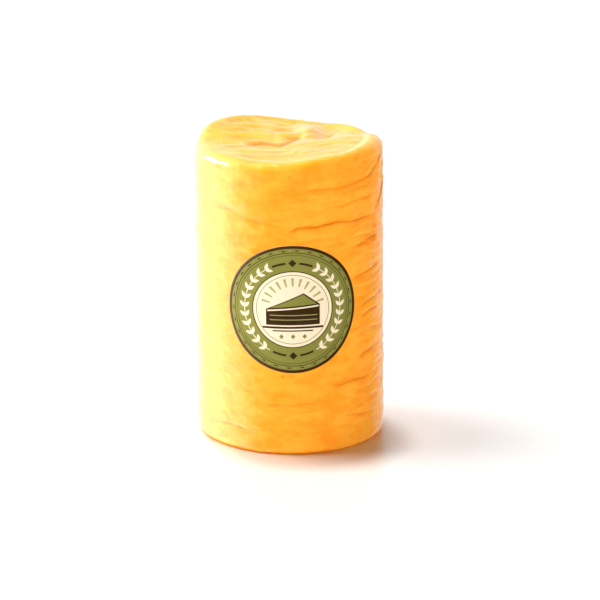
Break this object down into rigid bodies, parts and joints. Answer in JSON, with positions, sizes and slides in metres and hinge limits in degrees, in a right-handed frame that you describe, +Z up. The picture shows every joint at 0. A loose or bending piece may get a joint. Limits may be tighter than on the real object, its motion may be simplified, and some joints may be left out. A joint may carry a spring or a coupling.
{
  "type": "colby longhorn cheese",
  "caption": "Short upright round of orange colby longhorn cheese, shrink-wrapped in clear film, with a round paper label on its front.",
  "frame": {"origin": "middle of the flat base the cheese stands on", "axes": "+Z up along the round; -Y is the front with the label; +X is the right side seen from the front"},
  "size_m": [0.1195, 0.1199, 0.1946],
  "materials": {
    "cheese": "smooth orange cheese under tight clear glossy film",
    "label": "semi-gloss printed paper"
  },
  "bodies": {
    "root": {"wrapped_cheese": "cheese", "label": "label"}
  },
  "joints": []
}
